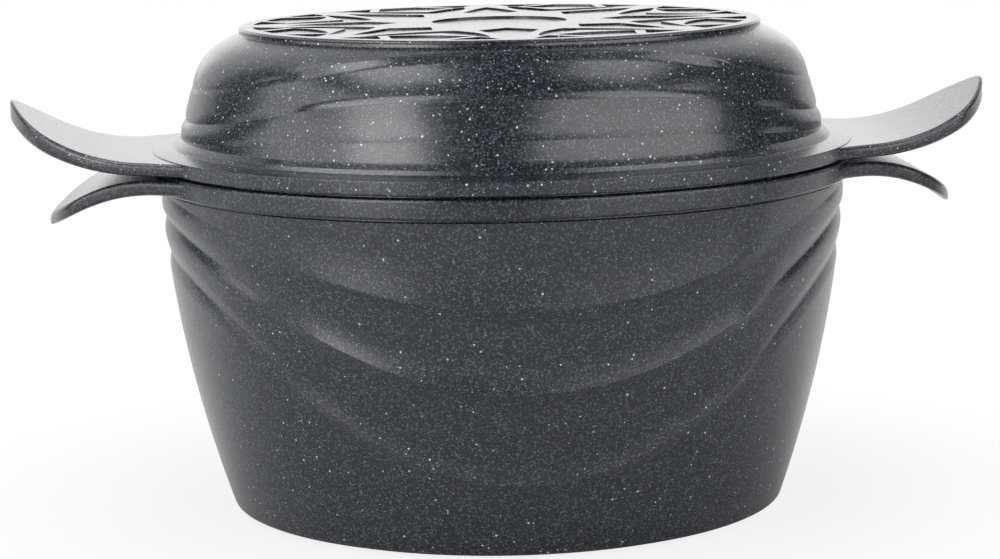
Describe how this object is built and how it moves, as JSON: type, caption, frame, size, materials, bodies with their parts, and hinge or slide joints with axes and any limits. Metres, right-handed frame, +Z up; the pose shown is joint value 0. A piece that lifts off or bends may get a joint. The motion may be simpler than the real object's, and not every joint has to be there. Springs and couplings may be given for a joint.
{
  "type": "casserole with frying pan lid",
  "caption": "Cast casserole pot with side lugs and swagged walls, closed by a shallow frying pan turned upside down, which lifts off as its lid; pierced base plates under both.",
  "frame": {"origin": "centre of the pot's base plate, on the surface it stands on", "axes": "+X through one pair of lugs, +Y away from the front, +Z up along the axis of the pot"},
  "size_m": [0.419, 0.3, 0.2069],
  "materials": {
    "pot_coating": "satin dark slate non-stick coating with pale flecks over cast aluminium",
    "pot_plate_steel": "turned stainless steel, pierced",
    "pan_coating": "satin dark slate non-stick coating with pale flecks over cast aluminium",
    "pan_plate_coating": "pierced steel plate under the same satin dark slate coating"
  },
  "bodies": {
    "pot": {"pot_casting": "pot_coating", "pot_base_plate": "pot_plate_steel"},
    "pan_lid": {"pan_casting": "pan_coating", "pan_base_plate": "pan_plate_coating"}
  },
  "joints": [
    {"name": "lid_lift", "type": "slide", "parent": "pot", "child": "pan_lid", "axis": [0, 0, 1], "range_m": [0, 0.25]}
  ]
}
